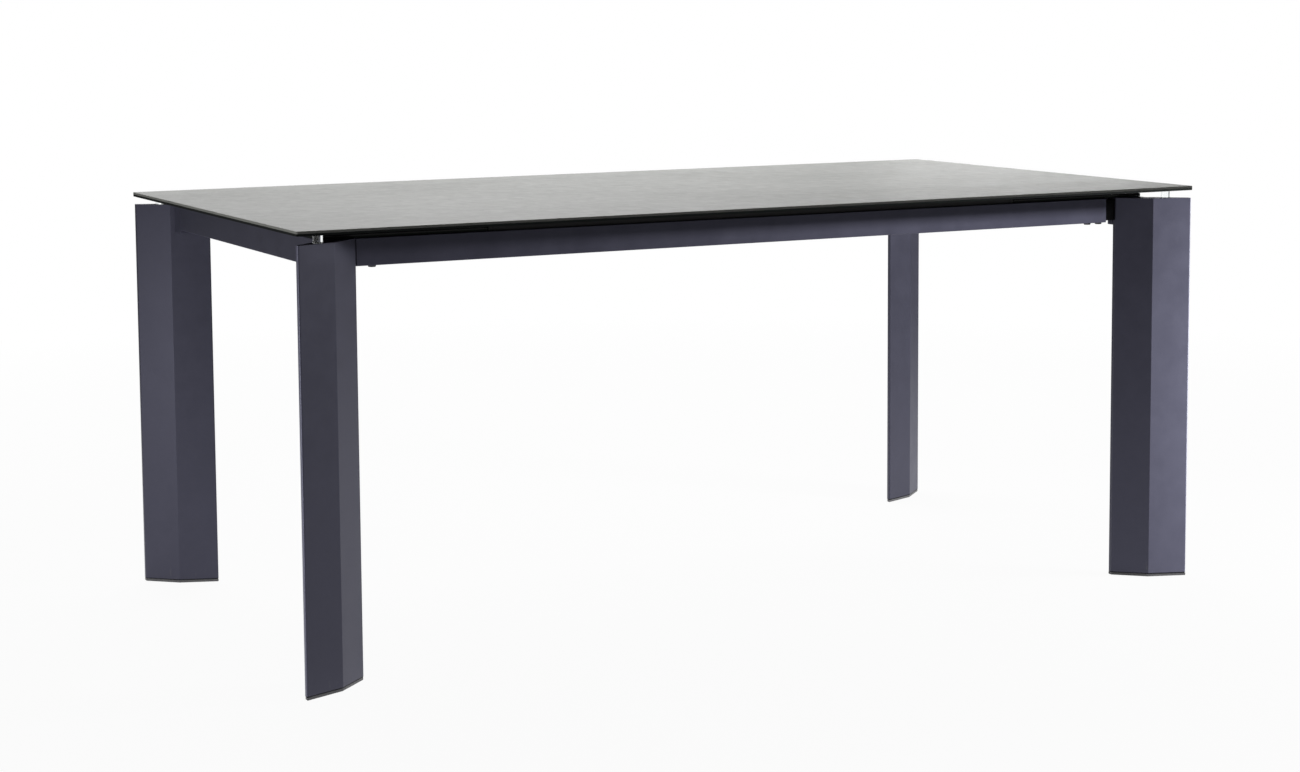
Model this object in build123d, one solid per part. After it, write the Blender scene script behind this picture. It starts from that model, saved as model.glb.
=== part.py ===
# Extendable dining table: a ceramic and glass top on four bevelled legs, with a leaf drawn out of each end.
# Millimetres, +Z up. The origin is on the floor under the middle of the top, and +X runs along the length.
import math
import os

from build123d import *

# Overall size
table_length = 1800
table_width = 950
table_height = 760

# Top: a ceramic sheet bonded to a sheet of dark glass, standing clear of the frame
top_ceramic = 4
top_glass = 4
top_corner_radius = 3
top_edge_break = 0.6
top_gap = 15

# Leg section: a flattened hexagon, alike when turned half round, measured from its outermost corner
leg_end_inset = 2
leg_side_inset = 1
leg_section_length = 124
leg_section_width = 83
leg_tip_width = 10
leg_shoulder_along = 71
leg_shoulder_in = 26
leg_wall = 3
leg_edge_radius = 2
leg_plate_thickness = 4

# Foot under each leg: a cap, a recessed neck and a plug inside the leg
foot_height = 5
foot_inset = 0.6
foot_neck = 1
foot_neck_inset = 2.2
foot_plug_depth = 22
foot_edge_break = 0.8

# Clear spacer on each leg, placed from the outer face of the leg
spacer_diameter = 16
spacer_along = 49
spacer_setback = 9.5
spacer_edge_break = 0.7

# Aprons in line with the inner tips of the legs, each end on a tongue that shows only at the right
apron_height = 46
apron_thickness = 24
apron_wall = 3
apron_edge_radius = 1.2
apron_right_gap = 23
apron_left_gap = 1.5
tongue_depth = 66
tongue_edge_radius = 1.5

# Bolts up through the apron into the tongue, and screws through the bracket into the tongue
apron_bolt_diameter = 8
apron_bolt_head = 13
apron_bolt_head_height = 3.5
apron_bolt_edge_break = 1.2
apron_bolt_tip_distance = 32.5
apron_right_bolt_count = 2
apron_left_bolt_count = 1
apron_bolt_pitch = 26
apron_bolt_reach = 24
tongue_screw_diameter = 4
tongue_screw_head = 7.2
tongue_screw_head_height = 3.5
tongue_screw_reach = 16
tongue_screw_pitch = 22
tongue_screw_inward = 2.6

# Bracket bent from plate on each leg, between the end rail and the apron
bracket_height = 52
bracket_wall = 4
bracket_edge_radius = 1

# Cross bars between the aprons, with the posts and bonded discs that hold the top
cross_bar_place = 130
cross_bar_width = 40
cross_bar_height = 30
cross_bar_wall = 2.5
cross_bar_drop = 7
flange_thickness = 4
flange_width = 70
post_place = 220
post_diameter = 30
disc_diameter = 60
disc_thickness = 3
top_screw_diameter = 6
top_screw_head = 12
top_screw_head_height = 4
top_screw_end_gap = 1

# Support block along each apron, which closes the gap under the top between the two leaves
block_width = 18
block_edge_break = 1
block_setback = 8

# End rail, the front of the drawn leaf
rail_inset = 63.5
rail_height = 46
rail_thickness = 24
rail_wall = 2.5
rail_edge_radius = 1.2
rail_side_gap = 1
rail_cap_thickness = 2

# Leaf: a ceramic sheet bonded to glass
leaf_length = 300
leaf_ceramic = 3
leaf_glass = 3
leaf_corner_radius = 3
leaf_clearance = 0.6
leaf_side_inset = 3
leaf_joint_gap = 0.5
lift_clearance = 0.3

# Sloping guide channels on the aprons, and the slide bars that run in them
channel_height = 30
channel_depth = 18
channel_wall = 2.5
channel_setback = 6
channel_drop = 16
liner_thickness = 1.5
bumper_length = 12
bar_side_gap = 0.6
bar_overhang = 2.1
bar_wall = 2.5
bar_inner_gap = 60
guide_screw_diameter = 4
guide_screw_head = 8
guide_screw_count = 3
guide_screw_end_distance = 26
stop_head_diameter = 8
stop_head_height = 2.6

# Carriage cross members, with the flanged bushes that guide the leaf's pins
member_inset = 60
member_width = 30
member_height = 20
member_wall = 2.5
pin_setback = 57
pin_diameter = 12
pin_length = 30
pin_edge_break = 1.5
bush_diameter = 18
bush_flange_diameter = 24
bush_flange = 3
angle_thickness = 3
angle_length = 17
angle_width = 20
angle_height = 18

# Leaf carrier: bearers along the leaf and bars across it
bearer_setback = 85
bearer_width = 30
bearer_wall = 2
carrier_thickness = 12
carrier_bar_width = 40
carrier_edge_break = 2
carrier_side_gap = 27

# Cam shaft that lifts the leaf by a quarter turn, with its lever
cam_radius = 15
cam_width = 14
shaft_diameter = 12
shaft_end_gap = 2
bearing_width = 26
bearing_height = 28
bearing_thickness = 12
bearing_edge_radius = 3
lever_hub_diameter = 24
lever_hub_width = 20
lever_diameter = 9
lever_tip_gap = 8
grip_diameter = 15
grip_length = 38
grip_end = 3
grip_edge_break = 2

# Clearances
seat_gap = 0.3
running_gap = 0.05
fit_gap = 0.2

# Levels and places that follow from the sizes above
top_underside = table_height - top_ceramic - top_glass
frame_top = top_underside - top_gap
leg_bottom = foot_height + foot_neck
apron_bottom = frame_top - apron_height

# Leg corners as distances in from the top's end edge and from its long edge
outer_corner = (leg_end_inset, leg_side_inset)
inner_corner = (leg_end_inset + leg_section_length, leg_side_inset + leg_section_width)
outer_tip = (outer_corner[0], outer_corner[1] + leg_tip_width)
inner_tip = (inner_corner[0], inner_corner[1] - leg_tip_width)
outer_shoulder = (outer_corner[0] + leg_shoulder_along, outer_corner[1] + leg_shoulder_in)
inner_shoulder = (inner_corner[0] - leg_shoulder_along, inner_corner[1] - leg_shoulder_in)
shoulder_angle = math.atan2(leg_shoulder_in, leg_shoulder_along)

# Aprons have their outer faces in line with the inner tips of the legs
apron_y = table_width / 2 - inner_tip[1] - apron_thickness / 2
apron_inner_y = apron_y - apron_thickness / 2
apron_outer_y = apron_y + apron_thickness / 2
leg_tip_x = table_length / 2 - inner_corner[0]
apron_right_x = leg_tip_x - apron_right_gap
apron_left_x = leg_tip_x - apron_left_gap

# Spacers stand along the leg's outer face
face_u, face_v = math.cos(shoulder_angle), math.sin(shoulder_angle)
spacer_u = outer_corner[0] + spacer_along * face_u - spacer_setback * face_v
spacer_v = outer_corner[1] + spacer_along * face_v + spacer_setback * face_u
spacer_place = (table_length / 2 - spacer_u, table_width / 2 - spacer_v)

# Leaf at rest over the aprons, its rise on the sloping guides and its lift at the end
leaf_width = 2 * (apron_outer_y - leaf_side_inset)
leaf_outer_x = table_length / 2 - rail_inset
leaf_inner_x = leaf_outer_x - leaf_length
leaf_bottom = frame_top + leaf_clearance
leaf_top = leaf_bottom + leaf_glass + leaf_ceramic
lift_rise = top_underside - leaf_top - lift_clearance
slide_rise = table_height - leaf_top - lift_rise
slide_run = table_length / 2 + leaf_joint_gap - leaf_inner_x
slide_angle = math.atan2(slide_rise, slide_run)
slide_travel = math.hypot(slide_rise, slide_run)

# Guide line: the middle of the slide bars, met at the back of the end rail
rail_back_x = leaf_outer_x - rail_thickness
bar_inner_x = cross_bar_place + cross_bar_width / 2 + bar_inner_gap
bar_height = channel_height - 2 * (channel_wall + liner_thickness + seat_gap)
bar_outer_y = apron_inner_y - channel_wall - bar_side_gap
bar_inner_y = apron_inner_y - channel_depth - bar_overhang
bar_length = (rail_back_x - bar_inner_x) / math.cos(slide_angle)
guide_line = Plane(
    origin=(rail_back_x, 0, frame_top - channel_drop),
    x_dir=(math.cos(slide_angle), 0, math.sin(slide_angle)),
    z_dir=(-math.sin(slide_angle), 0, math.cos(slide_angle)),
)
channel_length = bar_length + seat_gap + bumper_length - channel_setback

# Carriage and leaf carrier
carrier_bottom = leaf_bottom - carrier_thickness
carrier_half_width = bar_inner_y - carrier_side_gap
pin_place = bar_inner_y - pin_setback
bearer_place = pin_place - bearer_setback
member_top = carrier_bottom - seat_gap - bush_flange
member_places = (leaf_inner_x + member_inset, leaf_outer_x - member_inset)
shaft_x = sum(member_places) / 2
cam_offset = lift_rise / math.sqrt(2)
shaft_z = carrier_bottom - seat_gap - cam_radius + lift_rise / 2
lever_reach = member_places[1] - shaft_x - member_width / 2 - lever_tip_gap


def corner_point(place):
    return (table_length / 2 - place[0], table_width / 2 - place[1])


def front_and_back(piece):
    return [piece, mirror(piece, about=Plane.XZ)]


def left_of(piece):
    return mirror(piece, about=Plane.YZ)


def four_corners(piece):
    return front_and_back(piece) + front_and_back(left_of(piece))


def save(name, pieces):
    solids = [solid for piece in pieces for solid in piece.solids()]
    shape = solids[0] if len(solids) == 1 else Compound(children=solids)
    export_step(shape, f"parts/{name}.step")


def rod(diameter, length, x=0, y=0, z=0, direction=Axis.Z):
    """A round rod that starts at a point and runs along a direction."""
    plane = Plane(origin=(x, y, z), z_dir=direction.direction)
    return extrude(plane * Circle(diameter / 2), amount=length)


def lengthwise(profile, length):
    """A profile in Y and Z, run from X = 0 towards the middle of the table."""
    return extrude(Plane.YZ * profile, amount=-length)


def rounded_tube(width, height, wall, radius):
    return RectangleRounded(width, height, radius) - Rectangle(width - 2 * wall, height - 2 * wall)


def sheet(length, width, thickness, radius, x=0, z=0):
    return extrude(Pos(x, 0, z) * RectangleRounded(length, width, radius), amount=thickness)


# Table top
def top_sheets():
    glass = sheet(table_length, table_width, top_glass, top_corner_radius, z=top_underside)
    ceramic = sheet(table_length, table_width, top_ceramic, top_corner_radius, z=top_underside + top_glass)
    ceramic = chamfer(ceramic.faces().sort_by(Axis.Z)[-1].edges(), top_edge_break)
    return ceramic, glass


# Legs, each at the corner of +X and +Y
def leg_outline(inset=0):
    corners = [outer_corner, outer_shoulder, inner_tip, inner_corner, inner_shoulder, outer_tip]
    outline = make_face(Polyline(*[corner_point(corner) for corner in corners], close=True))
    if inset:
        outline = offset(outline, amount=-inset, kind=Kind.INTERSECTION)
    return outline


def leg_layer(bottom, top, inset=0):
    return extrude(Pos(0, 0, bottom) * leg_outline(inset), amount=top - bottom, dir=(0, 0, 1))


def leg():
    body = leg_layer(leg_bottom, frame_top)
    body = fillet(body.edges().filter_by(Axis.Z), leg_edge_radius)
    return body - leg_layer(leg_bottom, frame_top, leg_wall)


def leg_plate():
    return leg_layer(frame_top - leg_plate_thickness, frame_top, leg_wall + fit_gap)


def foot():
    cap = leg_layer(0, foot_height, foot_inset)
    cap = chamfer(cap.faces().sort_by(Axis.Z)[0].edges(), foot_edge_break)
    neck = leg_layer(foot_height, leg_bottom, foot_neck_inset)
    plug = leg_layer(leg_bottom, leg_bottom + foot_plug_depth, leg_wall + fit_gap)
    return cap + neck + plug


def spacer():
    post = rod(spacer_diameter, top_gap, *spacer_place, frame_top)
    return chamfer(post.edges().filter_by(GeomType.CIRCLE), spacer_edge_break)


# Aprons and what joins them to the legs
def apron_bolts(count, gap=0):
    """Bolts under the +X end of the back apron. With a gap they are the cutters for their holes."""
    bolts = []
    for step in range(count):
        x = leg_tip_x - apron_bolt_tip_distance - step * apron_bolt_pitch
        shank = rod(apron_bolt_diameter + 2 * gap, apron_bolt_reach + gap, x, apron_y, apron_bottom)
        if gap:
            bolts.append(shank)
            continue
        head = rod(apron_bolt_head, apron_bolt_head_height, x, apron_y, apron_bottom - apron_bolt_head_height)
        head = chamfer(head.edges().sort_by(Axis.Z)[0], apron_bolt_edge_break)
        bolts.append(head + shank)
    return bolts


def tongue_screws(gap=0):
    """Screws from inside the bracket into the tongue. With a gap they are the cutters for their holes."""
    screws = []
    for side in (-1, 1):
        z = frame_top - apron_height / 2 + side * tongue_screw_pitch / 2
        seat = (leg_tip_x + bracket_wall, apron_y - tongue_screw_inward, z)
        reach = tongue_screw_reach + bracket_wall + gap
        shank = rod(tongue_screw_diameter + 2 * gap, reach, *seat, -Axis.X)
        if gap:
            screws.append(shank)
            continue
        screws.append(shank + rod(tongue_screw_head, tongue_screw_head_height, *seat, Axis.X))
    return screws


def tongue(visible_length, bolt_count):
    """A tongue at the +X end, set in the bracket on the leg and pushed into the apron."""
    width = apron_thickness - 2 * (apron_wall + fit_gap)
    height = apron_height - 2 * (apron_wall + fit_gap)
    body = lengthwise(RectangleRounded(width, height, tongue_edge_radius), visible_length + tongue_depth)
    body = Pos(leg_tip_x, apron_y, frame_top - apron_height / 2) * body
    for cutter in apron_bolts(bolt_count, fit_gap) + tongue_screws(fit_gap):
        body -= cutter
    return body


def apron():
    profile = rounded_tube(apron_thickness, apron_height, apron_wall, apron_edge_radius)
    body = lengthwise(profile, apron_right_x + apron_left_x)
    body = Pos(apron_right_x, apron_y, frame_top - apron_height / 2) * body
    for bolt in apron_bolts(apron_right_bolt_count, fit_gap):
        body -= bolt
    for bolt in apron_bolts(apron_left_bolt_count, fit_gap):
        body -= left_of(bolt)
    for screw in guide_screws(fit_gap):
        body -= screw
        body -= left_of(screw)
    return body


def end_bracket():
    """A plate bent twice: its outer end shows beside the end rail and its inner end holds the tongue."""
    face_slope = leg_shoulder_in / leg_shoulder_along
    inner_v = table_width / 2 - apron_inner_y
    end_u = inner_corner[0]

    def outline(wall):
        starts = [(u, inner_corner[1] - (end_u - u) * face_slope) for u in (rail_inset + wall, end_u - wall)]
        ends = [(u, inner_v - wall) for u in (end_u - wall, rail_inset + wall)]
        return make_face(Polyline(*[corner_point(corner) for corner in starts + ends], close=True))

    profile = outline(0) - outline(bracket_wall)
    body = extrude(Pos(0, 0, frame_top) * profile, amount=bracket_height, dir=(0, 0, -1))
    nose = body.edges().filter_by(Axis.Z).group_by(Axis.X)[-1].sort_by(Axis.Y)[0]
    body = fillet(nose, bracket_edge_radius)
    for screw in tongue_screws(fit_gap):
        body -= screw
    return body


# Cross bar on the +X side with its flanges, and what it carries
def top_screws(gap=0):
    screws = []
    start = frame_top - cross_bar_drop - cross_bar_height
    for side in (-1, 1):
        place = (cross_bar_place, side * post_place)
        reach = top_underside - top_screw_end_gap - start
        shank = rod(top_screw_diameter + 2 * gap, reach + gap, *place, start)
        if gap:
            screws.append(shank)
            continue
        head = rod(top_screw_head, top_screw_head_height, *place, start - top_screw_head_height)
        screws.append(shank + head)
    return screws


def cross_bar():
    z = frame_top - cross_bar_drop - cross_bar_height / 2
    profile = RectangleRounded(cross_bar_width, cross_bar_height, apron_edge_radius)
    profile -= Rectangle(cross_bar_width - 2 * cross_bar_wall, cross_bar_height - 2 * cross_bar_wall)
    bar = extrude(Plane.XZ * profile, amount=apron_inner_y - flange_thickness, both=True)
    flange = extrude(Plane.XZ * Rectangle(flange_width, cross_bar_height), amount=flange_thickness)
    flange = Pos(0, apron_inner_y, 0) * flange
    for plate in front_and_back(flange):
        bar += plate
    bar = Pos(cross_bar_place, 0, z) * bar
    for screw in top_screws(fit_gap):
        bar -= screw
    return bar


def posts():
    bottom = frame_top - cross_bar_drop
    pieces = []
    for side, screw in zip((-1, 1), top_screws(fit_gap)):
        height = top_underside - disc_thickness - bottom
        pieces.append(rod(post_diameter, height, cross_bar_place, side * post_place, bottom) - screw)
    return pieces


def discs():
    bottom = top_underside - disc_thickness
    pieces = []
    for side, screw in zip((-1, 1), top_screws(fit_gap)):
        pieces.append(rod(disc_diameter, disc_thickness, cross_bar_place, side * post_place, bottom) - screw)
    return pieces


def support_block():
    length = 2 * (leaf_inner_x - block_setback)
    block = extrude(Pos(0, apron_y, frame_top) * Rectangle(length, block_width), amount=top_gap)
    return chamfer(block.edges().filter_by(Axis.Z), block_edge_break)


# Guide channel on the back apron at the +X end, with its liners, bumper and screws
def guide_screw_places():
    """Middles of the screws on the guide line, from the inner end outwards."""
    first = bar_inner_x + guide_screw_end_distance
    step = (apron_right_x - guide_screw_end_distance - first) / (guide_screw_count - 1)
    places = []
    for index in range(guide_screw_count):
        x = first + index * step
        places.append((x, frame_top - channel_drop - (rail_back_x - x) * math.tan(slide_angle)))
    return places


def guide_screws(gap=0):
    """Countersunk screws, but the outermost has a proud head that stops the slide bar at both limits."""
    screws = []
    seat_y = apron_inner_y - channel_wall
    for x, z in guide_screw_places():
        shank = rod(guide_screw_diameter + 2 * gap, channel_wall + apron_wall + gap, x, seat_y, z, Axis.Y)
        head = Plane(origin=(x, seat_y, z), z_dir=(0, 1, 0)) * Pos(0, 0, channel_wall / 2) * Cone(
            guide_screw_head / 2 + gap, guide_screw_diameter / 2 + gap, channel_wall
        )
        if (x, z) == guide_screw_places()[-1]:
            head = rod(stop_head_diameter, stop_head_height, x, seat_y, z, -Axis.Y)
        screws.append(shank + head)
    return screws


def guide_channel():
    profile = Rectangle(channel_depth, channel_height)
    hollow = Rectangle(channel_depth, channel_height - 2 * channel_wall)
    profile -= Pos(-channel_wall, 0) * hollow
    body = lengthwise(profile, channel_length)
    body = guide_line.location * Pos(-channel_setback, apron_inner_y - channel_depth / 2, 0) * body
    for screw in guide_screws(fit_gap):
        body -= screw
    return body


def guide_liners():
    width = channel_depth - channel_wall
    height = channel_height / 2 - channel_wall - liner_thickness / 2
    pieces = []
    for side in (-1, 1):
        strip = lengthwise(Rectangle(width, liner_thickness), channel_length)
        y = apron_inner_y - channel_wall - width / 2
        pieces.append(guide_line.location * Pos(-channel_setback, y, side * height) * strip)
    return pieces


def bumper():
    width = channel_depth - channel_wall
    height = channel_height - 2 * (channel_wall + liner_thickness)
    block = lengthwise(Rectangle(width, height), bumper_length)
    y = apron_inner_y - channel_wall - width / 2
    return guide_line.location * Pos(-bar_length - seat_gap, y, 0) * block


# Carriage at the +X end: end rail, slide bars and cross members
def end_rail():
    length = 2 * (apron_inner_y - rail_side_gap - rail_cap_thickness)
    profile = rounded_tube(rail_thickness, rail_height, rail_wall, rail_edge_radius)
    body = extrude(Plane.XZ * profile, amount=length / 2, both=True)
    return Pos(leaf_outer_x - rail_thickness / 2, 0, frame_top - rail_height / 2) * body


def rail_cap():
    profile = RectangleRounded(rail_thickness, rail_height, rail_edge_radius)
    cap = extrude(Plane.XZ * profile, amount=rail_cap_thickness)
    place = (leaf_outer_x - rail_thickness / 2, apron_inner_y - rail_side_gap, frame_top - rail_height / 2)
    return Pos(*place) * cap


def stop_slot():
    """Slot in the slide bar's outer wall, in which the stop screw's head runs."""
    stop_x = (guide_screw_places()[-1][0] - rail_back_x) / math.cos(slide_angle)
    width = stop_head_diameter + 2 * seat_gap
    slot = extrude(Plane.XZ * SlotCenterToCenter(slide_travel, width), amount=bar_wall + bar_side_gap)
    return guide_line.location * Pos(stop_x - slide_travel / 2, bar_outer_y + bar_side_gap, 0) * slot


def slide_bar():
    width = bar_outer_y - bar_inner_y
    spare = bar_height
    profile = Rectangle(width, bar_height) - Rectangle(width - 2 * bar_wall, bar_height - 2 * bar_wall)
    bar = Pos(spare, 0, 0) * lengthwise(profile, bar_length + spare)
    bar = guide_line.location * Pos(0, (bar_outer_y + bar_inner_y) / 2, 0) * bar
    beyond = Pos(rail_back_x, 0, frame_top) * Box(
        2 * spare, table_width, table_height, align=(Align.MIN, Align.CENTER, Align.CENTER)
    )
    return bar - beyond - stop_slot()


def bar_angle():
    corner = (Align.MAX, Align.MAX)
    profile = Rectangle(angle_length, angle_width, align=corner)
    inside = Rectangle(angle_length - angle_thickness, angle_width - angle_thickness, align=corner)
    profile -= Pos(-angle_thickness, -angle_thickness) * inside
    z = frame_top - channel_drop - angle_height / 2
    return Pos(rail_back_x, bar_inner_y, z) * extrude(profile, amount=angle_height)


def bushes():
    pieces = []
    bottom = member_top - member_height
    for x in member_places:
        sleeve = rod(bush_diameter, member_height, x, pin_place, bottom)
        sleeve += rod(bush_flange_diameter, bush_flange, x, pin_place, member_top)
        sleeve -= rod(pin_diameter + 2 * running_gap, member_height + bush_flange, x, pin_place, bottom)
        pieces.append(sleeve)
    return pieces


def cross_member(x):
    profile = Rectangle(member_width, member_height)
    profile -= Rectangle(member_width - 2 * member_wall, member_height - 2 * member_wall)
    body = extrude(Plane.XZ * profile, amount=bar_inner_y, both=True)
    body = Pos(x, 0, member_top - member_height / 2) * body
    hole = rod(bush_diameter + 2 * running_gap, member_height, x, pin_place, member_top - member_height)
    for cutter in front_and_back(hole):
        body -= cutter
    return body


def shaft_bearing():
    block = Pos(shaft_x, bar_inner_y - bearing_thickness / 2, shaft_z) * Box(
        bearing_width, bearing_thickness, bearing_height
    )
    block = fillet(block.edges().filter_by(Axis.Y), bearing_edge_radius)
    bore = rod(
        shaft_diameter + 2 * running_gap, bearing_thickness, shaft_x, bar_inner_y, shaft_z, -Axis.Y
    )
    return block - bore


# Leaf at the +X end with its carrier
def leaf_sheets():
    x = (leaf_inner_x + leaf_outer_x) / 2
    glass = sheet(leaf_length, leaf_width, leaf_glass, leaf_corner_radius, x, leaf_bottom)
    ceramic = sheet(leaf_length, leaf_width, leaf_ceramic, leaf_corner_radius, x, leaf_bottom + leaf_glass)
    ceramic = chamfer(ceramic.faces().sort_by(Axis.Z)[-1].edges(), top_edge_break)
    return ceramic, glass


def carrier_bars():
    bars = []
    for x in member_places:
        bar = extrude(
            Pos(x, 0, carrier_bottom) * Rectangle(carrier_bar_width, 2 * carrier_half_width),
            amount=carrier_thickness,
        )
        bars.append(chamfer(bar.edges().filter_by(Axis.Z), carrier_edge_break))
    return bars


def bearer():
    profile = Rectangle(bearer_width, carrier_thickness)
    profile -= Rectangle(bearer_width - 2 * bearer_wall, carrier_thickness - 2 * bearer_wall)
    start = member_places[1] - carrier_bar_width / 2
    length = start - (member_places[0] + carrier_bar_width / 2)
    return Pos(start, bearer_place, carrier_bottom + carrier_thickness / 2) * lengthwise(profile, length)


def lift_pins():
    pins = []
    for x in member_places:
        pin = rod(pin_diameter, pin_length, x, pin_place, carrier_bottom - pin_length)
        pins.append(chamfer(pin.edges().filter_by(GeomType.CIRCLE).sort_by(Axis.Z)[0], pin_edge_break))
    return pins


# Cam shaft at the +X end: eccentric discs start low on the outer side and rise in a quarter turn
def cam_shaft():
    length = 2 * (bar_inner_y - shaft_end_gap)
    return rod(shaft_diameter, length, shaft_x, -length / 2, shaft_z, Axis.Y)


def cam():
    side = cam_offset / math.sqrt(2)
    start = bearer_place - cam_width / 2
    disc = rod(2 * cam_radius, cam_width, shaft_x - side, start, shaft_z - side, Axis.Y)
    return disc - rod(shaft_diameter + 2 * running_gap, cam_width, shaft_x, start, shaft_z, Axis.Y)


def lever():
    start = -lever_hub_width / 2
    hub = rod(lever_hub_diameter, lever_hub_width, shaft_x, start, shaft_z, Axis.Y)
    arm = rod(lever_diameter, lever_reach, shaft_x, 0, shaft_z, Axis.X)
    return hub + arm - rod(shaft_diameter + 2 * running_gap, lever_hub_width, shaft_x, start, shaft_z, Axis.Y)


def lever_grip():
    depth = grip_length - grip_end
    start = shaft_x + lever_reach - depth
    grip = rod(grip_diameter, grip_length, start, 0, shaft_z, Axis.X)
    grip = chamfer(grip.edges().filter_by(GeomType.CIRCLE), grip_edge_break)
    return grip - rod(lever_diameter + 2 * running_gap, depth, start, 0, shaft_z, Axis.X)


os.makedirs("parts", exist_ok=True)

ceramic_sheet, glass_sheet = top_sheets()
save("top_ceramic", [ceramic_sheet])
save("top_glass", [glass_sheet])

leg_names = ("leg_back_right", "leg_front_right", "leg_back_left", "leg_front_left")
for name, piece in zip(leg_names, four_corners(leg())):
    save(name, [piece])
save("leg_plates", four_corners(leg_plate()))
save("feet", four_corners(foot()))
save("top_spacers", four_corners(spacer()))

for name, piece in zip(("apron_back", "apron_front"), front_and_back(apron())):
    save(name, [piece])
right_tongue = tongue(apron_right_gap, apron_right_bolt_count)
left_tongue = left_of(tongue(apron_left_gap, apron_left_bolt_count))
save("apron_tongues", front_and_back(right_tongue) + front_and_back(left_tongue))
right_bolts = apron_bolts(apron_right_bolt_count)
left_bolts = [left_of(bolt) for bolt in apron_bolts(apron_left_bolt_count)]
save("apron_bolts", [copy for bolt in right_bolts + left_bolts for copy in front_and_back(bolt)])
save("tongue_screws", [copy for screw in tongue_screws() for copy in four_corners(screw)])
save("end_brackets", four_corners(end_bracket()))
save("support_blocks", front_and_back(support_block()))

channel_names = ("guide_back_right", "guide_front_right", "guide_back_left", "guide_front_left")
for name, piece in zip(channel_names, four_corners(guide_channel())):
    save(name, [piece])
save("guide_liners", [copy for strip in guide_liners() for copy in four_corners(strip)])
save("guide_bumpers", four_corners(bumper()))
save("guide_screws", [copy for screw in guide_screws() for copy in four_corners(screw)])

end_ceramic, end_glass = leaf_sheets()
shared_pieces = {
    "top_posts": posts(),
    "bonded_discs": discs(),
    "top_screws": top_screws(),
}
paired_pieces = {
    "cross_bar": [cross_bar()],
    "end_rail": [end_rail()],
    "rail_caps": front_and_back(rail_cap()),
    "slide_bars": front_and_back(slide_bar()),
    "bar_angles": front_and_back(bar_angle()),
    "cross_members": [cross_member(x) for x in member_places],
    "pin_bushes": [copy for bush in bushes() for copy in front_and_back(bush)],
    "shaft_bearings": front_and_back(shaft_bearing()),
    "leaf_ceramic": [end_ceramic],
    "leaf_glass": [end_glass],
    "leaf_bearers": front_and_back(bearer()),
    "leaf_bars": carrier_bars(),
    "lift_pins": [copy for pin in lift_pins() for copy in front_and_back(pin)],
    "cam_shaft": [cam_shaft()],
    "cams": front_and_back(cam()),
    "lever": [lever()],
    "lever_grip": [lever_grip()],
}
for name, pieces in paired_pieces.items():
    save(f"right_{name}", pieces)
    save(f"left_{name}", [left_of(piece) for piece in pieces])
for name, pieces in shared_pieces.items():
    save(name, pieces + [left_of(piece) for piece in pieces])

print(f"slide travel {slide_travel:.3f} at {math.degrees(slide_angle):.4f} degrees, rise {slide_rise:.3f}")
print(f"lift {lift_rise:.3f}, shaft at x {shaft_x:.3f} z {shaft_z:.3f}, leaf width {leaf_width:.2f}")
print(f"apron y {apron_y:.2f} to inner face {apron_inner_y:.2f}")
print(f"apron ends x {-apron_left_x:.2f} and {apron_right_x:.2f}")
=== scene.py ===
import math

import bpy
from mathutils import Matrix, Vector


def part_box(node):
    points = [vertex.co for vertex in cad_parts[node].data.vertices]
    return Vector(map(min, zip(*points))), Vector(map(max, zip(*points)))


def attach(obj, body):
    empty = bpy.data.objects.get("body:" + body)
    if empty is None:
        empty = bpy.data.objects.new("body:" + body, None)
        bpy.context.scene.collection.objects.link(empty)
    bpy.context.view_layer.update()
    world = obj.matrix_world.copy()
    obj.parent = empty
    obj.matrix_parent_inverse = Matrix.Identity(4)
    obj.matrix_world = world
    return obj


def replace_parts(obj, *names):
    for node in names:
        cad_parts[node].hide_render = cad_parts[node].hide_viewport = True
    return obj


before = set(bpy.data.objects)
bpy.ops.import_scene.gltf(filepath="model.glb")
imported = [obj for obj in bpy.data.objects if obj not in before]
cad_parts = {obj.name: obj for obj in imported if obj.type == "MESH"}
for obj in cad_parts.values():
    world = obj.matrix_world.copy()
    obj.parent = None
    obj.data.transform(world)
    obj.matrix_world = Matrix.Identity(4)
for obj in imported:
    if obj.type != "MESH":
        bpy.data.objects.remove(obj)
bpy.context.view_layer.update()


# Shader wires
class Wire:
    # one output socket; sums on wires become Math nodes
    def __init__(self, socket):
        self.socket = socket
        self.tree = socket.id_data

    def add(self, kind, settings=None, inputs=None, output=0):
        node = self.tree.nodes.new("ShaderNode" + kind)
        for key, value in (settings or {}).items():
            setattr(node, key, value)
        for key, value in (inputs or {}).items():
            plug(value, node.inputs[key])
        return Wire(node.outputs[output])

    def math(self, operation, first, second):
        return self.add("Math", {"operation": operation}, {0: first, 1: second})

    def __add__(self, other):
        return self.math("ADD", self, other)

    def __radd__(self, other):
        return self.math("ADD", other, self)

    def __sub__(self, other):
        return self.math("SUBTRACT", self, other)

    def __rsub__(self, other):
        return self.math("SUBTRACT", other, self)

    def __mul__(self, other):
        return self.math("MULTIPLY", self, other)

    def __rmul__(self, other):
        return self.math("MULTIPLY", other, self)


def plug(value, socket):
    if isinstance(value, Wire):
        value.tree.links.new(value.socket, socket)
    else:
        socket.default_value = value


def noise(place, scale, detail=3.0, roughness=0.55, stretch=(1, 1, 1), shift=(0, 0, 0), distortion=0.0):
    moved = place.add("Mapping", {}, {"Vector": place, "Scale": stretch, "Location": shift})
    values = {"Scale": scale, "Detail": detail, "Roughness": roughness, "Distortion": distortion}
    return place.add("TexNoise", {}, {"Vector": moved, **values})


def spread(wire, low, high, toLow=0.0, toHigh=1.0):
    # from low..high to toLow..toHigh, held at both ends
    return wire.add("MapRange", {}, {0: wire, 1: low, 2: high, 3: toLow, 4: toHigh})


def weighted(wires, shares):
    total = wires[0] * shares[0]
    for wire, share in zip(wires[1:], shares[1:]):
        total = total + wire * share
    return total


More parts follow.
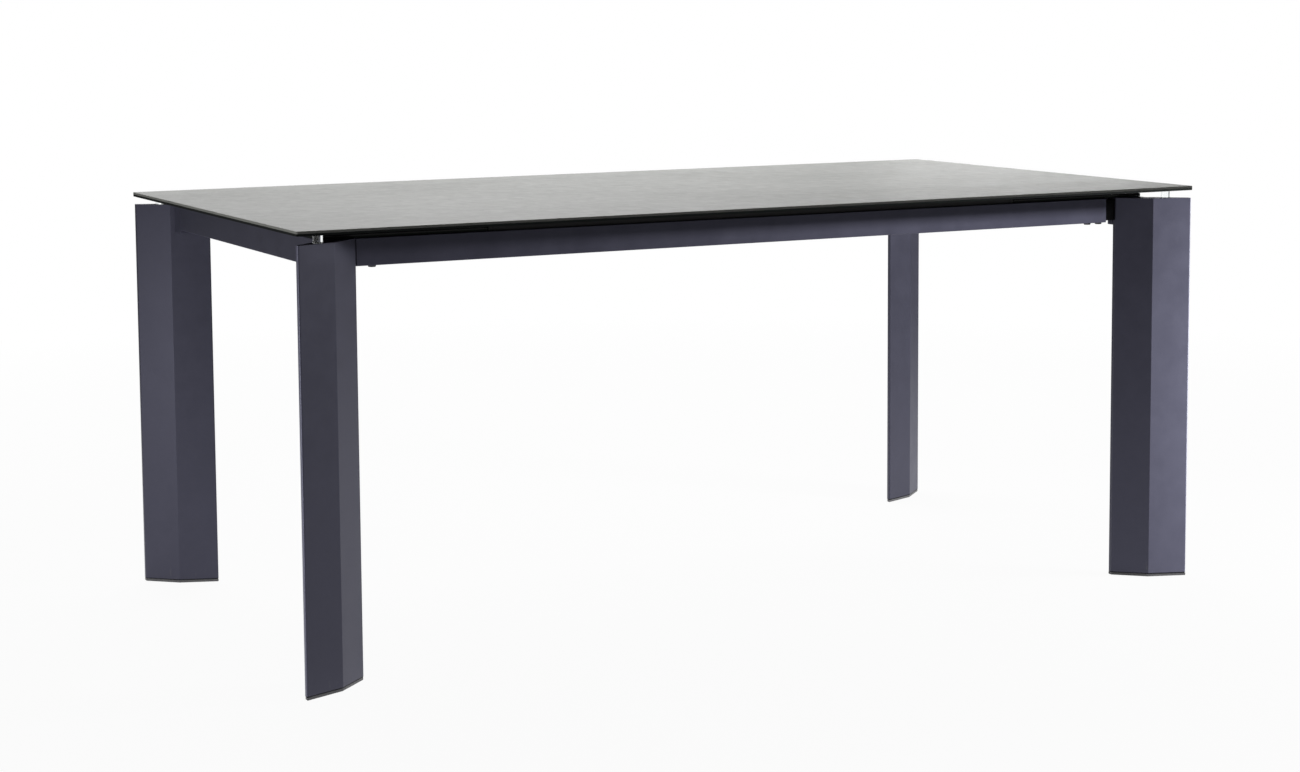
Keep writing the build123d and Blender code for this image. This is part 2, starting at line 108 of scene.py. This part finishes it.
def blendColour(factor, first, second):
    # sockets 6 and 7 and output 2 are the Mix node's colours
    return factor.add("Mix", {"data_type": "RGBA"}, {0: factor, 6: asColour(first), 7: asColour(second)}, 2)


def asColour(value):
    return value if isinstance(value, Wire) else (*value, 1.0)


def part(vector, axis):
    return vector.add("SeparateXYZ", {}, {0: vector}, axis)


def upward(place):
    # how far the surface looks up: 1 on top, 0 on a wall, -1 below
    return part(place.add("NewGeometry", {}, {}, "Normal"), 2)


def newFinish(name):
    material = bpy.data.materials.new(name)
    material.use_nodes = True
    nodes = material.node_tree.nodes
    place = Wire(nodes.new("ShaderNodeTexCoord").outputs["Object"])
    return material, nodes["Principled BSDF"], place


def dress(surface, **values):
    for key, value in values.items():
        plug(value, surface.inputs[key.replace("_", " ")])


def bump(height, strength, depth):
    return height.add("Bump", {}, {"Strength": strength, "Distance": depth, "Height": height})


# Finishes
noiseRange = (0.3, 0.7)  # where nearly all of a noise lies
toneRange = (0.35, 0.65)  # the same for a mix of two noises

ceramicLook = {
    "pale": (0.515, 0.520, 0.502),
    "dark": (0.358, 0.363, 0.348),
    "edge": (0.380, 0.385, 0.355),
    "leafEdgePaintedShade": (0.022, 0.023, 0.022),  # painted shade: the leaves' edges lie in the top's shadow in the gap under it, so they are painted near black
    "leafHeight": (0.749, 0.751),  # the leaves lie below this height, the top above it
    "faceSlope": (0.80, 0.95),
    "clouds": {"scale": 1.7, "detail": 4.0, "roughness": 0.6, "distortion": 0.4},
    "smudges": {
        "scale": 7.0, "detail": 5.0, "roughness": 0.65,
        "stretch": (1, 1.6, 1), "shift": (3.1, 1.7, 0), "distortion": 0.8,
    },
    "streaks": {
        "scale": 3.2, "detail": 6.0, "roughness": 0.7,
        "stretch": (0.5, 4.0, 1), "shift": (0.4, 5.2, 0), "distortion": 0.6,
    },
    "mottle": {
        "scale": 38.0, "detail": 6.0, "roughness": 0.7,
        "stretch": (1, 0.7, 1), "shift": (2.3, 0.9, 0), "distortion": 0.5,
    },
    "shares": (0.27, 0.18, 0.13, 0.42),  # of clouds, smudges, streaks and mottle in the tone
    "toneRange": (0.40, 0.60),
    "grain": {"scale": 900.0, "detail": 2.0, "roughness": 0.5},
    "fleck": 0.12,
    "roughness": (0.46, 0.60),
    "gloss": 0.35,
    "relief": (0.12, 0.0004),
}


def concreteCeramic():
    look = ceramicLook
    material, surface, place = newFinish("concreteCeramic")
    clouds = noise(place, **look["clouds"])
    smudges = noise(place, **look["smudges"])
    streaks = noise(place, **look["streaks"])
    mottle = noise(place, **look["mottle"])
    grain = noise(place, **look["grain"])
    tone = spread(weighted((clouds, smudges, streaks, mottle), look["shares"]), *look["toneRange"])
    flecks = spread(grain, *noiseRange, -look["fleck"], look["fleck"])
    face = blendColour(tone + flecks, look["dark"], look["pale"])
    # painted shade: below the leaf height the edges take the near-black shade colour; the top's edges keep
    # their own colour
    edge = blendColour(spread(part(place, 2), *look["leafHeight"]), look["leafEdgePaintedShade"], look["edge"])
    colour = blendColour(spread(upward(place), *look["faceSlope"]), edge, face)
    dress(surface, Base_Color=colour, Roughness=spread(smudges, *noiseRange, *look["roughness"]))
    dress(surface, Normal=bump(grain, *look["relief"]), Specular_IOR_Level=look["gloss"])
    return material


glassLook = {
    "colour": (0.006, 0.0065, 0.0068),
    "groundEdge": (0.010, 0.0125, 0.0120),
    "faceSlope": (0.5, 0.9),
    "smear": {"scale": 14.0, "detail": 4.0, "roughness": 0.6, "stretch": (0.6, 2.0, 1)},
    "grinding": {"scale": 260.0, "detail": 3.0, "roughness": 0.6, "stretch": (0.2, 0.2, 6.0)},
    "polish": (0.06, 0.14),
    "groundRough": 0.34,
    "grindingShare": 0.12,
    "gloss": 0.10,
}


def blackGlass():
    look = glassLook
    material, surface, place = newFinish("blackGlass")
    slope = upward(place)
    flat = spread(slope.math("ABSOLUTE", slope, 0.0), *look["faceSlope"])
    polish = spread(noise(place, **look["smear"]), *noiseRange, *look["polish"])
    ground = noise(place, **look["grinding"]) * look["grindingShare"] + look["groundRough"]
    dress(surface, Base_Color=blendColour(flat, look["groundEdge"], look["colour"]))
    dress(surface, Roughness=flat * polish + (1 - flat) * ground, Specular_IOR_Level=look["gloss"])
    return material


paintLook = {
    "colour": (0.092, 0.092, 0.132),
    "deep": (0.078, 0.078, 0.113),
    "scuff": (0.160, 0.159, 0.175),
    # painted shade: near black, for the shadow gap above the foot cap
    "cut": (0.006, 0.006, 0.008),
    "gapShadeHeight": (0.0068, 0.0074),  # painted shade: up to here the paint is near black, for the shadow gap above the foot cap
    "flake": 0.12,  # share of the light that the metal flakes throw back
    "mottle": {"scale": 24.0, "detail": 4.0, "roughness": 0.6},
    "peel": {"scale": 420.0, "detail": 2.0, "roughness": 0.5},
    "grain": {"scale": 2200.0, "detail": 1.0, "roughness": 0.5},
    "marks": {"scale": 55.0, "detail": 5.0, "roughness": 0.75, "stretch": (1, 1, 0.35)},
    "markRange": (0.62, 0.74),
    "scuffHeight": (0.006, 0.045),  # shoes scuff the legs below this
    "scuffRough": 0.2,
    "toneShares": (0.6, 0.4),
    "reliefShares": (0.7, 0.3),
    "relief": (0.10, 0.0003),
    "roughness": (0.36, 0.44),
    "gloss": 0.5,
    "glossTint": (0.80, 0.80, 1.0),
}


def anthracitePaint():
    look = paintLook
    material, surface, place = newFinish("anthracitePaint")
    height = part(place, 2)
    mottle = noise(place, **look["mottle"])
    peel = noise(place, **look["peel"])
    grain = noise(place, **look["grain"])
    tone = spread(weighted((mottle, grain), look["toneShares"]), *toneRange)
    paint = blendColour(tone, look["deep"], look["colour"])
    marks = spread(noise(place, **look["marks"]), *look["markRange"])
    scuffs = marks * spread(height, *look["scuffHeight"], 1.0, 0.0)
    worn = blendColour(scuffs, paint, look["scuff"])
    rough = spread(mottle, *noiseRange, *look["roughness"]) + scuffs * look["scuffRough"]
    relief = bump(weighted((peel, grain), look["reliefShares"]), *look["relief"])
    # painted shade: at the legs' lower ends the paint takes the near-black shade colour
    dress(surface, Base_Color=blendColour(spread(height, *look["gapShadeHeight"]), look["cut"], worn))
    dress(surface, Roughness=rough, Metallic=look["flake"], Normal=relief)
    dress(surface, Specular_IOR_Level=look["gloss"], Specular_Tint=asColour(look["glossTint"]))
    return material


footLook = {
    "colour": (0.300, 0.298, 0.310),
    "deep": (0.225, 0.222, 0.235),
    "neck": (0.006, 0.006, 0.007),
    "neckHeight": (0.0047, 0.0050),  # painted shade: above this the recess and the plug over it are near black, for the shadow gap under the leg
    "mottle": {"scale": 60.0, "detail": 3.0, "roughness": 0.6},
    "grain": {"scale": 1500.0, "detail": 2.0, "roughness": 0.5},
    "toneShares": (0.5, 0.5),
    "relief": (0.15, 0.0003),
    "roughness": (0.42, 0.58),
    "gloss": 0.4,
}


def footPlastic():
    look = footLook
    material, surface, place = newFinish("footPlastic")
    mottle = noise(place, **look["mottle"])
    grain = noise(place, **look["grain"])
    tone = spread(weighted((mottle, grain), look["toneShares"]), *toneRange)
    cap = blendColour(tone, look["deep"], look["colour"])
    # painted shade: from this height up the foot takes the near-black shade colour
    colour = blendColour(spread(part(place, 2), *look["neckHeight"]), cap, look["neck"])
    dress(surface, Base_Color=colour, Roughness=spread(grain, *noiseRange, *look["roughness"]))
    dress(surface, Normal=bump(grain, *look["relief"]), Specular_IOR_Level=look["gloss"])
    return material


clearLook = {
    "clear": (0.99, 1.0, 1.0),
    "hazy": (0.93, 0.96, 0.96),
    "haze": {"scale": 240.0, "detail": 3.0, "roughness": 0.6, "stretch": (1, 1, 0.2)},
    "hazeRange": (0.35, 0.75),
    "roughness": (0.01, 0.07),
    "bending": 1.46,
}


def clearPlastic():
    look = clearLook
    material, surface, place = newFinish("clearPlastic")
    haze = noise(place, **look["haze"])
    dress(surface, Base_Color=blendColour(haze, look["hazy"], look["clear"]))
    dress(surface, Roughness=spread(haze, *look["hazeRange"], *look["roughness"]))
    dress(surface, IOR=look["bending"], Transmission_Weight=1.0)
    return material


mouldedLooks = {
    # partly painted shade: the castings are black, and their colour and gloss are turned down to near black
    # for the shade in the recess between the apron's end and the leg
    "blackCastingAndShade": {
        "colour": (0.007, 0.007, 0.008), "deep": (0.004, 0.004, 0.005),
        "roughness": (0.5, 0.68), "grainScale": 900.0, "relief": (0.3, 0.0003), "gloss": 0.03,
    },
    "nylon": {
        "colour": (0.70, 0.69, 0.65), "deep": (0.60, 0.59, 0.55),
        "roughness": (0.38, 0.5), "grainScale": 800.0, "relief": (0.08, 0.0003), "gloss": 0.5,
    },
    "blackRubber": {
        "colour": (0.016, 0.016, 0.017), "deep": (0.010, 0.010, 0.011),
        "roughness": (0.66, 0.82), "grainScale": 1200.0, "relief": (0.3, 0.0003), "gloss": 0.5,
    },
    "blackPlastic": {
        "colour": (0.020, 0.020, 0.022), "deep": (0.013, 0.013, 0.015),
        "roughness": (0.40, 0.55), "grainScale": 1300.0, "relief": (0.25, 0.0003), "gloss": 0.5,
    },
}


def moulded(name):
    # plastics, rubber and castings differ in colour, gloss and grain
    look = mouldedLooks[name]
    material, surface, place = newFinish(name)
    mottle = noise(place, scale=60.0, detail=3.0, roughness=0.6)
    grain = noise(place, look["grainScale"], detail=2.0, roughness=0.5)
    tone = spread(weighted((mottle, grain), (0.5, 0.5)), *toneRange)
    dress(surface, Base_Color=blendColour(tone, look["deep"], look["colour"]))
    dress(surface, Roughness=spread(grain, *noiseRange, *look["roughness"]))
    dress(surface, Normal=bump(grain, *look["relief"]), Specular_IOR_Level=look["gloss"])
    return material


drawnLooks = {
    "darkSteel": {
        "colour": (0.075, 0.075, 0.080), "deep": (0.045, 0.045, 0.050),
        "roughness": (0.28, 0.45), "lineScale": 700.0, "stretch": (1, 1, 1),
    },
    "brightSteel": {
        "colour": (0.62, 0.62, 0.63), "deep": (0.48, 0.48, 0.50),
        "roughness": (0.20, 0.36), "lineScale": 300.0, "stretch": (8, 0.3, 8),
    },
    "plainAluminium": {
        "colour": (0.66, 0.67, 0.68), "deep": (0.54, 0.55, 0.56),
        "roughness": (0.30, 0.44), "lineScale": 160.0, "stretch": (0.05, 6, 6),
    },
}


def drawnMetal(name):
    # metal with the lines left by drawing, turning or rolling
    look = drawnLooks[name]
    material, surface, place = newFinish(name)
    lines = noise(place, look["lineScale"], detail=4.0, roughness=0.65, stretch=look["stretch"])
    bloom = noise(place, scale=18.0, detail=3.0, roughness=0.6)
    tone = spread(weighted((lines, bloom), (0.6, 0.4)), *toneRange)
    rough = spread(weighted((lines, bloom), (0.7, 0.3)), *noiseRange, *look["roughness"])
    dress(surface, Base_Color=blendColour(tone, look["deep"], look["colour"]), Roughness=rough)
    dress(surface, Metallic=1.0, Normal=bump(lines, strength=0.06, depth=0.0002))
    return material


finishes = {
    "grey_ceramic": concreteCeramic(),
    "black_glass": blackGlass(),
    "anthracite": anthracitePaint(),
    "foot_grey": footPlastic(),
    "clear_plastic": clearPlastic(),
    # black castings, partly painted shade
    "black_casting": moulded("blackCastingAndShade"),
    "dark_steel": drawnMetal("darkSteel"),
    "bright_steel": drawnMetal("brightSteel"),
    "plain_aluminium": drawnMetal("plainAluminium"),
    "nylon": moulded("nylon"),
    "black_rubber": moulded("blackRubber"),
    "black_plastic": moulded("blackPlastic"),
}
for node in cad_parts.values():
    for materialSlot in node.material_slots:
        materialSlot.material = finishes[materialSlot.material.name.split(".")[0]]
print("finishes:", len(finishes))


# Places read from the CAD nodes
def levels(nodeName, axis):
    # the distinct heights of a node's corners along one axis
    return sorted({round(vertex.co[axis], 5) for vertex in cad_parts[nodeName].data.vertices})


def solidBoxes(nodeName):
    # lowest and highest corner of each separate solid in a node
    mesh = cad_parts[nodeName].data
    corners = [tuple(round(value, 6) for value in vertex.co) for vertex in mesh.vertices]
    owner = {corner: corner for corner in corners}

    def first(corner):
        while owner[corner] != corner:
            corner = owner[corner]
        return corner

    for face in mesh.polygons:
        start, *others = (corners[index] for index in face.vertices)
        for other in others:
            owner[first(other)] = first(start)
    solids = {}
    for corner in owner:
        solids.setdefault(first(corner), []).append(corner)
    return [(tuple(map(min, zip(*solid))), tuple(map(max, zip(*solid)))) for solid in solids.values()]


def middle(box, axis):
    return (box[0][axis] + box[1][axis]) / 2


def sideOf(box):
    # 1 at the back of the table, -1 at the front
    return math.copysign(1, middle(box, 1))


# Modelling
levelFace = 0.9  # a normal's least part along Z on a face that counts as level
rimShare = 0.9  # edges above this share of the height belong to the rim
roundSegments = 3
smoothAngle = {"screw": math.radians(30), "stop": math.radians(40)}


def clearSelection():
    if bpy.context.mode != "OBJECT":
        bpy.ops.object.mode_set(mode="OBJECT")
    bpy.ops.object.select_all(action="DESELECT")


def pick(piece, kind, test):
    # leaves edit mode on, with only the faces or edges that pass the test selected
    bpy.ops.object.mode_set(mode="EDIT")
    bpy.ops.mesh.select_mode(type=kind)
    bpy.ops.mesh.select_all(action="DESELECT")
    bpy.ops.object.mode_set(mode="OBJECT")
    for item in piece.data.polygons if kind == "FACE" else piece.data.edges:
        item.select = test(item)
    bpy.ops.object.mode_set(mode="EDIT")


def pickRim(piece, height):
    # the edges above a height
    points = piece.data.vertices
    pick(piece, "EDGE", lambda edge: all(points[index].co.z > height for index in edge.vertices))


def onlySelect(piece):
    clearSelection()
    piece.select_set(True)
    bpy.context.view_layer.objects.active = piece


def setCopies(name, model, seats, body, slot):
    # the model stands on Z = 0 and looks up; each seat is a place and the way its copy looks
    copies = []
    for place, way in seats:
        onlySelect(model)
        bpy.ops.object.duplicate()
        copy = bpy.context.object
        copy.location = place
        copy.rotation_euler = Vector((0, 0, 1)).rotation_difference(Vector(way)).to_euler()
        bpy.ops.object.transform_apply(location=True, rotation=True, scale=True)
        copies.append(copy)
    onlySelect(copies[0])
    for copy in copies:
        copy.select_set(True)
    bpy.ops.object.join()
    piece = copies[0]
    piece.name = name
    piece.data.name = name
    piece.data.materials.clear()
    piece.data.materials.append(finishes[slot])
    bpy.data.objects.remove(model)
    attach(piece, body)
    return piece


# Screws with a hexagon socket
def socketScrew(look):
    height = look["height"]
    clearSelection()
    bpy.ops.mesh.primitive_cylinder_add(
        vertices=look["sides"], radius=look["head"] / 2, depth=height, location=(0, 0, height / 2)
    )
    screw = bpy.context.object
    bpy.ops.object.transform_apply(location=True)
    pick(screw, "FACE", lambda face: face.normal.z < -levelFace)
    bpy.ops.mesh.inset(thickness=(look["head"] - look["shank"]) / 2)
    bpy.ops.mesh.extrude_region_move(TRANSFORM_OT_translate={"value": (0, 0, -look["reach"])})
    bpy.ops.object.mode_set(mode="OBJECT")
    pickRim(screw, height * rimShare)
    bpy.ops.mesh.bevel(offset=look["round"], segments=roundSegments)
    bpy.ops.object.mode_set(mode="OBJECT")
    keyRadius = look["socket"] / math.sqrt(3)  # from the width across the flats to the corners
    bpy.ops.mesh.primitive_cylinder_add(
        vertices=6, radius=keyRadius, depth=2 * look["socketDepth"], location=(0, 0, height)
    )
    key = bpy.context.object
    cut = screw.modifiers.new("socket", "BOOLEAN")
    cut.object = key
    onlySelect(screw)
    bpy.ops.object.modifier_apply(modifier="socket")
    bpy.data.objects.remove(key)
    bpy.ops.object.shade_smooth_by_angle(angle=smoothAngle["screw"])
    return screw


apronBoltLook = {"sides": 48, "shank": 0.008, "round": 0.0012, "socket": 0.005, "socketDepth": 0.0024}
topScrewLook = {"sides": 48, "shank": 0.006, "round": 0.0008, "socket": 0.005, "socketDepth": 0.0026}


def downwardScrews(name, node, carrier, look):
    # stands for a node of screws that come up from under their carrier, and takes its size from them
    boxes = solidBoxes(node)
    lowest, highest = boxes[0]
    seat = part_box(carrier)[0][2]
    size = {"head": highest[0] - lowest[0], "height": seat - lowest[2], "reach": highest[2] - seat}
    seats = [((middle(box, 0), middle(box, 1), seat), (0, 0, -1)) for box in boxes]
    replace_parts(setCopies(name, socketScrew({**look, **size}), seats, "frame", "dark_steel"), node)


flangeScrewLook = {
    "sides": 32, "head": 0.0095, "height": 0.0027, "shank": 0.005, "reach": 0.0035,
    "round": 0.0009, "socket": 0.003, "socketDepth": 0.0016,
    "pitch": 0.055,
}


def flangeScrews():
    # two through each flange of the cross bars
    look = flangeScrewLook
    seats = []
    for node in ("left_cross_bar", "right_cross_bar"):
        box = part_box(node)
        flangeFace = levels(node, 1)[-2]
        for side in (-1, 1):
            for step in (-0.5, 0.5):
                place = (middle(box, 0) + step * look["pitch"], side * flangeFace, middle(box, 2))
                seats.append((place, (0, -side, 0)))
    setCopies("flangeScrews", socketScrew(look), seats, "frame", "dark_steel")


angleScrewLook = {
    "sides": 32, "head": 0.0076, "height": 0.0022, "shank": 0.004, "reach": 0.0025,
    "round": 0.0007, "socket": 0.0025, "socketDepth": 0.0013,
    "cornerDistance": 0.0115,
}


def angleScrews(end, outward):
    # one screw into the slide bar and one into the end rail, through each angle
    look = angleScrewLook
    node = end + "_bar_angles"
    railFace = levels(node, 0)[-2 if outward > 0 else 1]
    barFace = levels(node, 1)[-2]
    seats = []
    for box in solidBoxes(node):
        side = sideOf(box)
        along = box[outward > 0][0] - outward * look["cornerDistance"]
        across = box[side > 0][1] - side * look["cornerDistance"]
        seats.append(((railFace, across, middle(box, 2)), (-outward, 0, 0)))
        seats.append(((along, side * barFace, middle(box, 2)), (0, -side, 0)))
    setCopies(end + "AngleScrews", socketScrew(look), seats, end + "_carriage", "dark_steel")


bearingScrewLook = {
    "sides": 32, "head": 0.0055, "height": 0.0018, "shank": 0.003, "reach": 0.010,
    "round": 0.0006, "socket": 0.002, "socketDepth": 0.0011,
    "pitch": 0.0205,
}


def bearingScrews(end):
    # one above and one below the shaft, in each bearing
    look = bearingScrewLook
    seats = []
    for box in solidBoxes(end + "_shaft_bearings"):
        side = sideOf(box)
        for step in (-0.5, 0.5):
            place = (middle(box, 0), box[side < 0][1], middle(box, 2) + step * look["pitch"])
            seats.append((place, (0, -side, 0)))
    setCopies(end + "BearingScrews", socketScrew(look), seats, end + "_carriage", "dark_steel")


grubScrewLook = {
    "sides": 32, "head": 0.006, "height": 0.0008, "shank": 0.005, "reach": 0.004,
    "round": 0.0003, "socket": 0.003, "socketDepth": 0.0014,
}


def grubScrews(end, outward):
    # lock the cams and the lever's hub on the shaft, away from where the cams touch the leaf
    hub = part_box(end + "_lever")
    seats = [((hub[outward < 0][0], 0, middle(hub, 2)), (-outward, 0, 0))]
    for box in solidBoxes(end + "_cams"):
        seats.append(((middle(box, 0), middle(box, 1), box[0][2]), (0, 0, -1)))
    setCopies(end + "GrubScrews", socketScrew(grubScrewLook), seats, end + "_cam", "dark_steel")


downwardScrews("apronBolts", "apron_bolts", "apron_front", apronBoltLook)
downwardScrews("topScrews", "top_screws", "right_cross_bar", topScrewLook)
flangeScrews()
for end, outward in (("left", -1), ("right", 1)):
    angleScrews(end, outward)
    bearingScrews(end)
    grubScrews(end, outward)
print("screws set")


# Rubber stops on the ends of the support blocks, which the closed leaves come up to
leafStopLook = {
    "leafClearance": 0.0005,
    "sideClearance": 0.0003,
    "edge": 0.0009,
    "rim": 0.0024,
    "dish": 0.0010,
}


def leafStops():
    look = leafStopLook
    blocks = solidBoxes("support_blocks")
    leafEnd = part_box("right_leaf_glass")[0][0]
    lowest, highest = blocks[0]
    length = leafEnd - look["leafClearance"] - highest[0]
    height, width = (highest[axis] - lowest[axis] - 2 * look["sideClearance"] for axis in (2, 1))
    clearSelection()
    bpy.ops.mesh.primitive_cube_add(size=1, location=(0, 0, length / 2), scale=(height, width, length))
    stop = bpy.context.object
    bpy.ops.object.transform_apply(location=True, scale=True)
    pick(stop, "FACE", lambda face: face.normal.z > levelFace)
    bpy.ops.mesh.inset(thickness=look["rim"])
    bpy.ops.mesh.extrude_region_move(TRANSFORM_OT_translate={"value": (0, 0, -look["dish"])})
    bpy.ops.object.mode_set(mode="OBJECT")
    rounding = stop.modifiers.new("edges", "BEVEL")
    rounding.width = look["edge"]
    rounding.segments = roundSegments
    bpy.ops.object.modifier_apply(modifier="edges")
    bpy.ops.object.shade_smooth_by_angle(angle=smoothAngle["stop"])
    seats = []
    for box in blocks:
        for outward in (-1, 1):
            place = (box[outward > 0][0], middle(box, 1), middle(box, 2))
            seats.append((place, (outward, 0, 0)))
    setCopies("leafStops", stop, seats, "frame", "black_rubber")


leafStops()
print("leaf stops set")


# Floor, room and light
stageLook = {
    "floorSize": 60.0,
    "floorColour": (0.70, 0.70, 0.70),
    "floorTint": 0.99,  # the darkest share of that colour
    "tintScale": 0.6,
    "floorRough": 0.9,
    "floorGlow": (0.955, 1.0),  # white near the table and far away; the rest keeps the shadow
    "glowReach": (1.6, 4.0),
    "ambient": 0.01,
    "roomGloss": 0.25,
    "farGloss": 0.06,  # gloss sees white floor near the table and dim floor far away
    "glossReach": (1.3, 4.0),
}
white = (1, 1, 1, 1)


def rays(wire, *kinds):
    # 1 for rays of any of these kinds
    paths = wire.tree.nodes.new("ShaderNodeLightPath").outputs
    found = Wire(paths[f"Is {kinds[0]} Ray"])
    for kind in kinds[1:]:
        found = found.math("MAXIMUM", found, Wire(paths[f"Is {kind} Ray"]))
    return found


def mirrored(wire):
    # 1 for rays thrown back by a glossy face; rays that clear plastic lets through count as glossy too
    return rays(wire, "Glossy") * (1 - rays(wire, "Transmission"))


def whiteFloor():
    look = stageLook
    clearSelection()
    bpy.ops.mesh.primitive_plane_add(size=look["floorSize"])
    floor = bpy.context.object
    floor.name = "floor"
    material, surface, place = newFinish("floorWhite")
    shaded = [value * look["floorTint"] for value in look["floorColour"]]
    tint = blendColour(noise(place, look["tintScale"]), look["floorColour"], shaded)
    dress(surface, Base_Color=tint, Roughness=look["floorRough"], Specular_IOR_Level=0.0)
    away = place.add("VectorMath", {"operation": "LENGTH"}, {0: place}, "Value")
    dim = spread(away, *look["glossReach"], 0.0, 1 - look["farGloss"])
    glow = place.add("Emission", {}, {"Color": white, "Strength": 1 - mirrored(place) * dim})
    share = spread(away, *look["glowReach"], *look["floorGlow"])
    seen = rays(place, "Camera", "Glossy", "Transmission") * share
    mixed = place.add("MixShader", {}, {0: seen, 1: Wire(surface.outputs[0]), 2: glow})
    plug(mixed, material.node_tree.nodes["Material Output"].inputs[0])
    floor.data.materials.append(material)


def whiteRoom():
    look = stageLook
    world = bpy.data.worlds.new("room")
    world.use_nodes = True
    bpy.context.scene.world = world
    nodes = world.node_tree.nodes
    nodes["Background"].inputs["Color"].default_value = white
    nodes["Background"].inputs["Strength"].default_value = look["ambient"]
    soft = Wire(nodes["Background"].outputs[0])
    strength = 1 - mirrored(soft) * (1 - look["roomGloss"])
    bright = soft.add("Background", {}, {"Color": white, "Strength": strength})
    seen = rays(soft, "Camera", "Glossy", "Transmission")
    mixed = soft.add("MixShader", {}, {0: seen, 1: soft, 2: bright})
    plug(mixed, nodes["World Output"].inputs[0])


ceramicFaces = ("top_ceramic", "left_leaf_ceramic", "right_leaf_ceramic")
lamps = {
    "overheadLamp": {"place": (0.2, 2.0, 2.6), "target": (0, 0, 0.7), "size": (2.8, 1.6), "power": 70.0},
    "keyLamp": {
        "place": (1.9, -1.15, 1.14), "target": (0.5, -0.3, 0.5), "size": (0.5, 0.3), "power": 27.0,
        "spares": ("apron_front", *ceramicFaces),  # from so low it would glare on the top, seen from behind
    },
    "leftLamp": {
        "place": (-1.9, -0.4, 0.3), "target": (-0.8, 0.3, 0.3), "size": (0.8, 0.5), "power": 4.4,
        "spares": ("floor",),
    },
    "rightLamp": {"place": (2.0, 1.6, 1.2), "target": (0.6, 0.2, 0.4), "size": (0.8, 0.8), "power": 4.4},
    "legLamp": {
        "place": (1.35, -0.85, 0.36), "target": (0.86, -0.42, 0.36), "size": (0.25, 0.66), "power": 14.0,
        "lights": ("leg_front_right",),
    },
    "topLamp": {
        "place": (1.2, 0.2, 2.3), "target": (0.9, 0.0, 0.76), "size": (0.8, 0.8), "power": 6.5,
        "lights": ceramicFaces,
    },
    "tipLamp": {
        "place": (-1.7, -0.42, 0.38), "target": (-0.9, -0.46, 0.36), "size": (0.3, 0.7), "power": 4.2,
        "lights": ("leg_front_left",),
    },
    "apronLamp": {
        "place": (0.75, -1.3, 1.19), "target": (0.5, -0.4, 0.7), "size": (0.4, 0.2), "power": 11.0,
        "lights": ("apron_front",),
    },
}


def lampGroup(name, members, state):
    # the pieces that a lamp lights alone, or that a flag keeps it off
    group = bpy.data.collections.new(name)
    for member in members:
        group.objects.link(bpy.data.objects["floor"] if member == "floor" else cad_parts[member])
    for entry in group.collection_objects:
        entry.light_linking.link_state = state
    return group


def softLamp(name, look):
    data = bpy.data.lights.new(name, "AREA")
    data.shape = "RECTANGLE"
    data.size, data.size_y = look["size"]
    data.energy = look["power"]
    lamp = bpy.data.objects.new(name, data)
    lamp.location = look["place"]
    lamp.visible_camera = False
    for key, state in (("lights", "INCLUDE"), ("spares", "EXCLUDE")):
        if key in look:
            lamp.light_linking.receiver_collection = lampGroup(name, look[key], state)
    aim = Vector(look["target"]) - lamp.location
    lamp.rotation_euler = aim.to_track_quat("-Z", "Y").to_euler()
    bpy.context.scene.collection.objects.link(lamp)


whiteFloor()
whiteRoom()
for lampName, lampLook in lamps.items():
    softLamp(lampName, lampLook)
print("stage: floor, room and", len(lamps), "lamps")


# Camera
cameraLook = {
    "place": (-2.16465, -4.14334, 1.11771),
    "turn": 27.297,  # degrees from +Y towards +X
    "tilt": 5.6881,  # degrees down
    "roll": -0.3816,
    "focalPixels": 2441.08,
    "axisRow": 245.0,  # picture row of the optical axis
    "picture": (1300, 772),
    "sensor": 36.0,
}


def photoCamera():
    look = cameraLook
    width, height = look["picture"]
    data = bpy.data.cameras.new("camera")
    data.sensor_width = look["sensor"]
    data.lens = look["focalPixels"] / width * look["sensor"]
    data.shift_y = (look["axisRow"] - height / 2) / width
    camera = bpy.data.objects.new("camera", data)
    turn = Matrix.Rotation(math.radians(-look["turn"]), 4, "Z")
    tilt = Matrix.Rotation(math.radians(90 - look["tilt"]), 4, "X")
    roll = Matrix.Rotation(math.radians(look["roll"]), 4, "Z")
    camera.matrix_world = Matrix.Translation(look["place"]) @ turn @ tilt @ roll
    bpy.context.scene.collection.objects.link(camera)
    bpy.context.scene.camera = camera


photoCamera()
bpy.context.scene.view_settings.view_transform = "Standard"
print("camera set")
